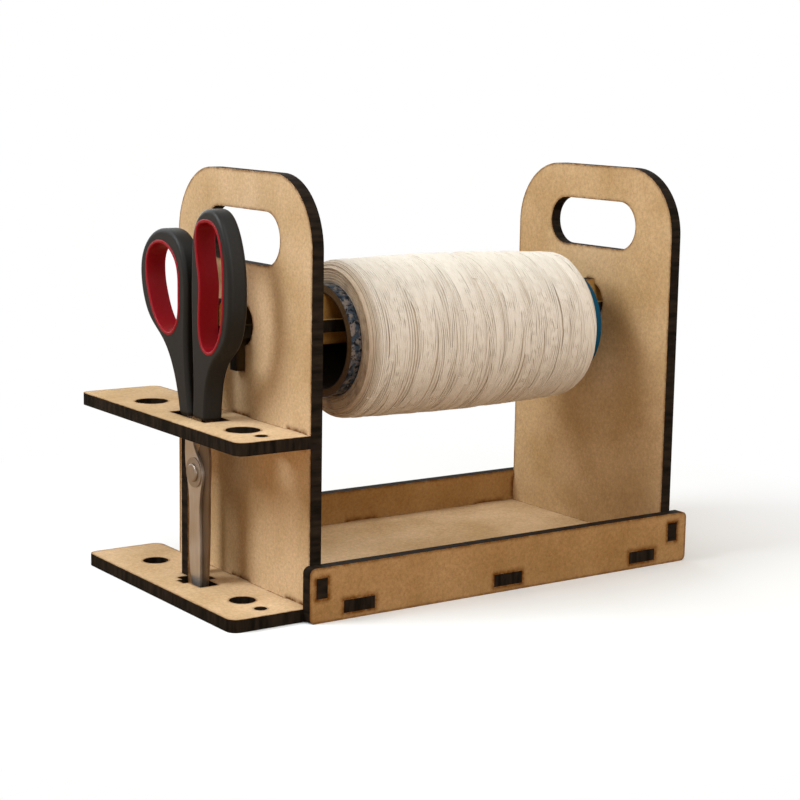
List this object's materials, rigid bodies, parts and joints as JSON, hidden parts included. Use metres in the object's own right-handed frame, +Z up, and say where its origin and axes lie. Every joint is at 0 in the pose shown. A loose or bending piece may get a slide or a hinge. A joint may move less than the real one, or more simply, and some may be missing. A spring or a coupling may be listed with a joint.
{
  "type": "thread rack",
  "caption": "Flat-pack stand of interlocking sheets that holds a yarn spool on a removable axle above a tray, with side shelves for scissors and tools.",
  "frame": {"origin": "bottom centre of the outer box, on the surface that the rack stands on", "axes": "+X along the spool's axle from the tool shelves' side to the far panel, +Y from the front rail to the back rail, +Z up"},
  "size_m": [0.2746, 0.166, 0.202],
  "materials": {
    "fibreboard": "matte, dark cut edges",
    "cardboard": "matte",
    "marbled_paper": "matte paper",
    "yarn": "matte cotton",
    "blade_steel": "satin",
    "handle_plastic": "matte",
    "liner_rubber": "satin"
  },
  "bodies": {
    "rack": {"left_side_panel": "fibreboard", "right_side_panel": "fibreboard", "front_rail": "fibreboard", "back_rail": "fibreboard", "tray_floor": "fibreboard", "upper_tool_shelf": "fibreboard", "lower_tool_shelf": "fibreboard", "shelf_post": "fibreboard"},
    "axle": {"axle_vertical_strip": "fibreboard", "axle_horizontal_strip": "fibreboard"},
    "spool": {"spool_core": "cardboard", "core_paper": "marbled_paper", "thread_winding": "yarn"},
    "scissors_outer": {"outer_blade": "blade_steel", "small_handle": "handle_plastic", "small_handle_liner": "liner_rubber", "pivot_screw": "blade_steel", "pivot_washer": "blade_steel", "pivot_nut": "blade_steel"},
    "scissors_inner": {"inner_blade": "blade_steel", "large_handle": "handle_plastic", "large_handle_liner": "liner_rubber"}
  },
  "joints": [
    {"name": "axle_slide", "type": "slide", "parent": "rack", "child": "axle", "axis": [1, 0, 0], "range_m": [0, 0.24]},
    {"name": "spool_spin", "type": "hinge", "parent": "rack", "child": "spool", "pos_m": [0, -0.0145, 0.11904], "axis": [1, 0, 0], "continuous": true},
    {"name": "scissors_lift", "type": "slide", "parent": "rack", "child": "scissors_outer", "axis": [0, 0, 1], "range_m": [0, 0.11]},
    {"name": "scissors_open", "type": "hinge", "parent": "scissors_outer", "child": "scissors_inner", "pos_m": [-0.11655, -0.00679, 0.05901], "axis": [1, 0, 0], "range_deg": [0, 2]}
  ]
}
